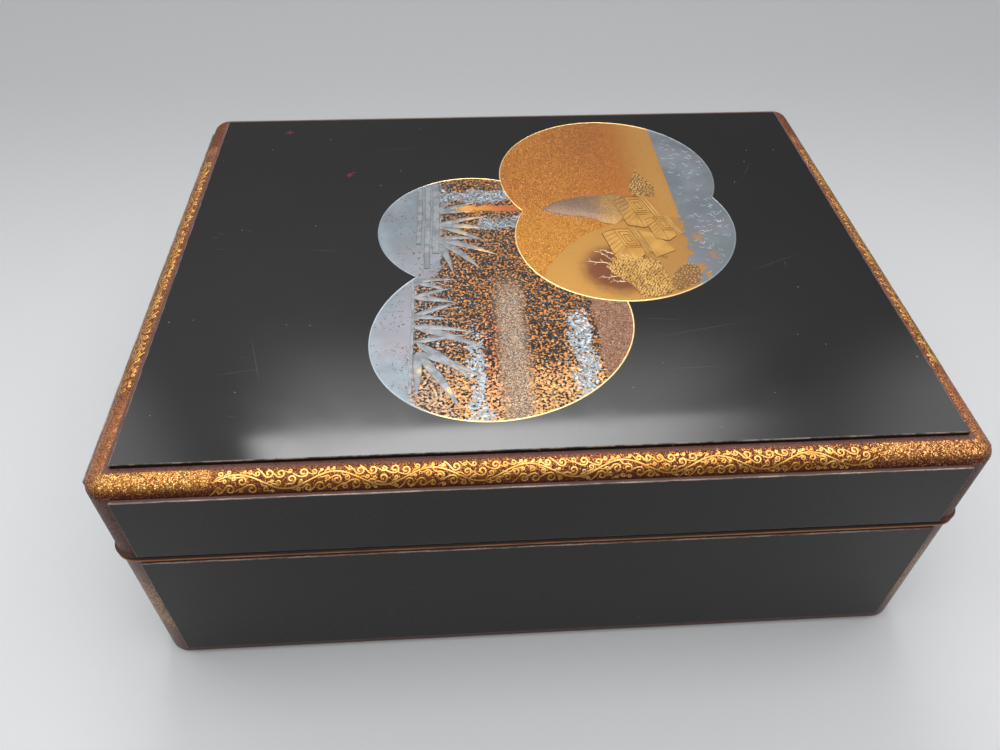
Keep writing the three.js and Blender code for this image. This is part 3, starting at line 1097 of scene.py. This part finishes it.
# Pavilions: a cluster of plain halls in built-up gold, seen from above at a slant. Each is a wall
# with a door, a side roof and a front roof, with its edges and two eave bars as fine raised lines.
HALLS = ((68.5, 26, 18.5), (57, -6, 18), (80.5, 9.5, 13.5))
HALL_LIFTS = (0.20, 0.26, 0.32)
HALL_STAGGER = 0.015
GALLERY = ((66.5, 10.5), (75.5, 7), (84, -9), (72, -15))
GALLERY_TOP = GOLD_SKIN + 0.28
STAIR = (69, -9)
STAIR_FALL = 0.75
STAIR_TREADS = 9
HALL_LINES_Z = GOLD_SKIN + 0.34
HALL_LINE = 0.5
HALL_LINE_LIFT = 0.14
EAVE_BAR = 0.95
EAVE_LIFT = 0.2
STAIR_LINE = 0.45


def hall_parts(foot_x, foot_y, size):
    """The three fields of one hall, the lines drawn on them and its eave bars."""
    def at(u, v):
        return (foot_x + (u - 0.26 * v) * size, foot_y + v * size)

    def door(low_u, low_v, high_u, high_v):
        corners = [at(low_u, low_v), at(high_u, low_v), at(high_u, high_v), at(low_u, high_v)]
        return corners + corners[:1]

    wall = [at(0, 0), at(0.5, 0), at(0.5, 1), at(0, 1)]
    side_roof = [at(0, 1), at(-0.435, 0.806), at(-0.53, -0.55), at(0, 0)]
    front_roof = [at(-0.53, -0.55), at(-0.06, -0.71), at(0.42, -0.36), at(0.5, 0), at(0, 0)]
    lines = [field + field[:1] for field in (wall, side_roof, front_roof)]
    lines += [door(0.10, 0.20, 0.42, 0.86), door(0.19, 0.34, 0.34, 0.70)]
    lines += [[at(0, 0.1), at(0.5, 0.1)], [at(-0.06, -0.71), at(0, 0)], [at(-0.27, -0.63), at(0, 0)]]
    for k in range(1, 6):
        lines.append([at(0, k / 6), at(-0.53 + 0.095 * k / 6, -0.55 + 1.356 * k / 6)])
    bars = [[at(0.54, 1.1), at(0.58, -0.3)], [at(0.66, 1.08), at(0.70, -0.22)]]
    return (wall, side_roof, front_roof), lines, bars


def finely(line, width, step=0.7):
    """Points set close along a straight-sided line."""
    spots = []
    for (ax, ay), (bx, by) in zip(line, line[1:]):
        count = max(2, int(math.hypot(bx - ax, by - ay) / step))
        spots += [(ax + (bx - ax) * i / count, ay + (by - ay) * i / count, width) for i in range(count)]
    return spots + [(*line[-1], width)]


hall_gold = powdered_metal(
    "hall_gold", (0.42, 0.215, 0.055), (0.56, 0.32, 0.09), 0.36, ground=(0.36, 0.16, 0.05)
)
line_gold = powdered_metal(
    "hall_line_gold", (0.34, 0.175, 0.048), (0.47, 0.26, 0.075), 0.36, ground=(0.30, 0.14, 0.04)
)
bead_gold = powdered_metal(
    "bead_gold", (0.60, 0.36, 0.11), (0.90, 0.63, 0.25), 0.3, ground=(0.4, 0.2, 0.07)
)

fields, drawn, bars = [], [], []
for k, hall in enumerate(HALLS):
    parts, lines, eaves = hall_parts(*hall)
    for lift, part in zip(HALL_LIFTS, parts):
        fields.append(raise_field("halls", part, FIELD_ROOT, GOLD_SKIN + lift + HALL_STAGGER * k))
    drawn += [finely(line, HALL_LINE) for line in lines]
    bars += [finely(bar, EAVE_BAR) for bar in eaves]
fields.append(raise_field("halls", GALLERY, FIELD_ROOT, GALLERY_TOP))
for k in range(STAIR_TREADS):
    x, y = STAIR[0] + k, STAIR[1] - STAIR_FALL * k
    drawn.append(finely([(x, y - 1.4), (x + 1.3, y + 0.6)], STAIR_LINE))
halls = join_pieces("halls", fields)
finish_piece(halls, [hall_gold])
hall_lines = lay_lines("hall_lines", drawn, on_lid(HALL_LINES_Z), HALL_LINE_LIFT, LINE_ROOT)
finish_piece(hall_lines, [line_gold])
eave_bars = lay_lines("eave_bars", bars, on_lid(HALL_LINES_Z), EAVE_LIFT, LINE_ROOT)
finish_piece(eave_bars, [bead_gold])

# Trees and bushes: crowds of small gold beads of lacquer, set close on a brown ground,
# under the halls and in one tree above them, with a plainer brown bush beside them.
BUSHES = (
    (((43.5, -22), (51.6, -11), (58, -13.5), (72, -18), (75.6, -37), (72, -52), (59.6, -50),
      (56, -39), (48.9, -32)), 1.5, 1.0),
    (((77, -36), (81, -27), (88, -21.5), (93, -25), (92, -34), (85, -41), (78, -43)), 2.2, 0.7),
    (((69, 45), (83, 44), (84.5, 55), (80, 66), (76, 75), (71.5, 66), (68, 55)), 1.9, 0.8),
)
BUSH_BULGE = 4.0
BUSH_BUMP = 1.1
BUSH_TOP = GOLD_SKIN + 0.1
BUSH_MARGIN = 1.2
BEAD_MARGIN = 1.6
BEAD_SIDES = 7
BEAD_SIZES = (0.6, 0.84)
BEAD_JITTER = 0.27
ROW_SPACING = 0.87


def sides_of(outline):
    return zip(outline, outline[1:] + outline[:1])


def enclosed(spot, outline):
    """Whether a spot lies inside an outline: an odd number of its sides pass to the right of it."""
    inside = False
    for (ax, ay), (bx, by) in sides_of(outline):
        if (ay > spot[1]) != (by > spot[1]) and spot[0] < ax + (bx - ax) * (spot[1] - ay) / (by - ay):
            inside = not inside
    return inside


def scalloped(outline):
    """The outline with each side broken into leafy bulges, kept inside the gold roundel."""
    spots = []
    for (ax, ay), (bx, by) in sides_of(outline):
        long, wide, high = math.hypot(bx - ax, by - ay), bx - ax, by - ay
        bulges = max(1, round(long / BUSH_BULGE))
        for i in range(bulges * 4):
            t = i / (bulges * 4)
            out = BUSH_BUMP * abs(math.sin(math.pi * t * bulges))
            spot = (ax + wide * t - out * high / long, ay + high * t + out * wide / long)
            while not within(spot, GOLD_LOBES, -BUSH_MARGIN):
                spot = tuple(a + 0.02 * (b - a) for a, b in zip(spot, GOLD_HEART))
            spots.append(spot)
    return spots


def add_bead(points, faces, x, y, radius):
    """A low dome: two rings and a crown."""
    first = len(points)
    low, high = GOLD_SKIN - 0.05, GOLD_SKIN + 0.2 + 0.85 * radius
    for reach, z in ((radius, low), (0.72 * radius, low + (high - low) * 0.7)):
        for i in range(BEAD_SIDES):
            angle = math.tau * i / BEAD_SIDES + x
            points.append(((x + reach * math.cos(angle)) * MM, (y + reach * math.sin(angle)) * MM, z * MM))
    points.append((x * MM, y * MM, high * MM))
    second, crown = first + BEAD_SIDES, len(points) - 1
    for i in range(BEAD_SIDES):
        j = (i + 1) % BEAD_SIDES
        faces += [(first + i, first + j, second + j, second + i), (second + i, second + j, crown)]
    faces.append(tuple(first + i for i in reversed(range(BEAD_SIDES))))


bush_ground, shader, place = new_material("bush_ground", Metallic=0.5, Roughness=0.45)
earth = mixed(cloud(place, 420, 3), (0.13, 0.055, 0.018), (0.28, 0.14, 0.042))
colour = mixed(ramp(millimetres(place)[0], 58, 46), earth, (0.15, 0.055, 0.024))
feed_named(shader, Base_Color=colour)

draw = random.Random(5)
points, faces, grounds = [], [], []
for corners, spacing, size in BUSHES:
    outline = scalloped(corners)
    grounds.append(raise_field("bush_ground", outline, FIELD_ROOT, BUSH_TOP))
    low_x, low_y = (min(spot[k] for spot in outline) for k in (0, 1))
    high_x, high_y = (max(spot[k] for spot in outline) for k in (0, 1))
    row_step = spacing * ROW_SPACING
    for row in range(int((high_y - low_y) / row_step) + 1):
        for column in range(int((high_x - low_x) / spacing) + 1):
            x = low_x + (column + 0.5 * (row % 2)) * spacing
            x += spacing * draw.uniform(-BEAD_JITTER, BEAD_JITTER)
            y = low_y + row * row_step + spacing * draw.uniform(-BEAD_JITTER, BEAD_JITTER)
            radius = size * draw.uniform(*BEAD_SIZES)
            if enclosed((x, y), outline) and within((x, y), GOLD_LOBES, -BEAD_MARGIN):
                add_bead(points, faces, x, y, radius)
bush_grounds = join_pieces("bush_grounds", grounds)
finish_piece(bush_grounds, [bush_ground])
bush_beads = from_points("bush_beads", points, faces)
finish_piece(bush_beads, [bead_gold], soft=60)

# Twigs and water: sprigs of fine pale lines round the bushes and under the headland,
# and small curling wave marks raised on the silver.
SPRIGS = (
    (45, -19, 172, 13), (46.5, -15, 150, 9), (50, -11.5, 140, 8), (48, -30.5, 196, 9), (52, -35, 205, 8),
)
SPRIG_BEND = 24
SHOOTS = 4
SHOOT_TURN = 48
REEDS = 16
REED_START = (15, 33.5)
REED_STEP = 1.5
REED_SLOPE = -0.42
TWIG_LIFT = 0.2
WATER_X, WATER_Y = (SHORE_X + 3, 124), (-38, 116)
WATER_MARGIN = 3.5
WAVE_MARKS = 90
WAVE_SIZES = (1.1, 2.2)
WAVE_STEPS = 8
WAVE_LIFT = 0.1


def step_from(x, y, heading, reach):
    return x + reach * math.cos(math.radians(heading)), y + reach * math.sin(math.radians(heading))


draw = random.Random(8)
lines = []
for x, y, heading, length in SPRIGS:
    reach = length / SHOOTS
    for i in range(SHOOTS):
        heading += draw.uniform(-SPRIG_BEND, SPRIG_BEND)
        end = step_from(x, y, heading, reach)
        lines.append(finely([(x, y), end], 0.65 - 0.06 * i))
        tip = step_from(*end, heading + (SHOOT_TURN if i % 2 else -SHOOT_TURN), reach * 0.9)
        lines.append(finely([end, tip], 0.5))
        x, y = end
for k in range(REEDS):
    x = REED_START[0] + REED_STEP * k + draw.uniform(-0.5, 0.5)
    y = REED_START[1] + REED_SLOPE * (x - REED_START[0]) - draw.uniform(0, 1.5)
    drop = draw.uniform(1.5, 4)
    lines.append(finely([(x, y), (x + draw.uniform(-0.6, 0.6), y - drop)], 0.5))
twigs = lay_lines("twigs", lines, on_lid(GOLD_SKIN), TWIG_LIFT)
twig_gold = powdered_metal("twig_gold", (0.74, 0.55, 0.30), (0.95, 0.80, 0.55), 0.3)
finish_piece(twigs, [twig_gold])

lines = []
while len(lines) < WAVE_MARKS:
    x, y = draw.uniform(*WATER_X), draw.uniform(*WATER_Y)
    if not within((x, y), GOLD_LOBES, -WATER_MARGIN):
        continue
    start, hand, size = draw.uniform(-0.6, 0.6), draw.choice((-1, 1)), draw.uniform(*WAVE_SIZES)
    line = []
    for i in range(WAVE_STEPS + 1):
        angle, reach = start + hand * 0.36 * i, size * (1 - 0.4 * i / WAVE_STEPS)
        line.append((x + reach * math.cos(angle), y + reach * math.sin(angle), 0.5 - 0.03 * i))
    lines.append(line)
wave_silver = powdered_metal(
    "wave_silver", (0.34, 0.38, 0.40), (0.55, 0.60, 0.63), 0.34, ground=(0.2, 0.22, 0.24)
)
wave_marks = lay_lines("wave_marks", lines, on_lid(GOLD_SKIN), WAVE_LIFT)
finish_piece(wave_marks, [wave_silver])

# Floor: a plain pale surface under the box, painted matt,
# with painted shade making it a little darker toward the back.
FLOOR_SIZE = 8.0
FLOOR_SHADE_Y = (-110, 560)

floor_paint, shader, place = new_material("pale_floor", Roughness=0.75)
pale = mixed(cloud(place, 1.5), (0.60, 0.61, 0.62), (0.65, 0.66, 0.67))
# Painted shade: the floor colour darkens toward the back.
depth = ramp(millimetres(place)[1], *FLOOR_SHADE_Y)
feed_named(shader, Base_Color=mixed(depth, pale, (0.43, 0.44, 0.45)))
clear_bench()
bpy.ops.mesh.primitive_plane_add(size=FLOOR_SIZE, location=(0, 0, 0))
floor = bpy.context.object
floor.name = "floor"
floor.data.materials.append(floor_paint)

# Light: a soft surround, dimmer low in front and brightest high behind the box, where its reflection
# lies along the front of the lid, and a broad soft light overhead.
BACKDROP = 0.62
WINDOW_GLOW = 8.5
FAINT_GLOW = 1.9
LAMP_PLACE = (0, -0.28, 1.05)
LAMP_SIZE = (1.4, 0.8)
LAMP_POWER = 6.5

scene = bpy.context.scene
scene.world = bpy.data.worlds.new("soft_surround")
scene.world.use_nodes = True
nodes = scene.world.node_tree.nodes
way = knot("ShaderNodeSeparateXYZ", {0: nodes.new("ShaderNodeTexCoord").outputs["Generated"]}).outputs
glow = ramp(way[2], 0.42, 0.76, 0.31, 0.90)
glow = times(glow, ramp(way[1], -0.95, 0.1, 0.42, 1), ramp(way[0], -0.3, 0.6, 1.04, 0.76))
behind = either(way[1], 0.01)
climb, aside = calc("DIVIDE", way[2], behind), calc("DIVIDE", way[0], behind)
overhead = ramp(climb, 1.9, 1.35)
window = times(
    ramp(plus(climb, times(aside, 0.02)), 1.136, 1.152), overhead,
    ramp(aside, -0.43, -0.35), ramp(aside, 0.75, 0.04),
)
middle = times(ramp(aside, -0.41, -0.21), ramp(aside, 0.60, 0.32))
sides = either(ramp(aside, -0.47, -0.66), ramp(aside, 0.62, 0.96))
faint = times(either(middle, times(sides, 0.75)), ramp(climb, 0.86, 1.10), overhead)
glow = plus(glow, times(window, WINDOW_GLOW))
glow = plus(glow, times(faint, FAINT_GLOW))
seen = nodes.new("ShaderNodeLightPath").outputs["Is Camera Ray"]
glow = plus(times(seen, BACKDROP), times(minus(1, seen), glow))
feed_named(nodes["Background"], Color=(0.985, 0.99, 1, 1), Strength=glow)

lamp = bpy.data.lights.new("overhead_soft_light", "AREA")
lamp.shape = "RECTANGLE"
lamp.size, lamp.size_y = LAMP_SIZE
lamp.energy = LAMP_POWER
lamp_object = bpy.data.objects.new("overhead_soft_light", lamp)
lamp_object.location = LAMP_PLACE
scene.collection.objects.link(lamp_object)

# Camera: above and in front of the box, looking down on the lid,
# turned a little to the box's right.
CAMERA_PLACE = (-0.0383, -0.3679, 0.4137)
CAMERA_SENSOR = 36
CAMERA_LENS = 29.187
CAMERA_HEADING = -4.095
CAMERA_DIP = 45.26
CAMERA_ROLL = 0.924

camera = bpy.data.cameras.new("photo_camera")
camera.sensor_width = CAMERA_SENSOR
camera.lens = CAMERA_LENS
camera_object = bpy.data.objects.new("photo_camera", camera)
turn = Matrix.Rotation(math.radians(CAMERA_HEADING), 4, "Z")
turn = turn @ Matrix.Rotation(math.radians(90 - CAMERA_DIP), 4, "X")
turn = turn @ Matrix.Rotation(math.radians(CAMERA_ROLL), 4, "Z")
camera_object.matrix_world = Matrix.Translation(CAMERA_PLACE) @ turn
scene.collection.objects.link(camera_object)
scene.camera = camera_object
scene.view_settings.view_transform = "Standard"
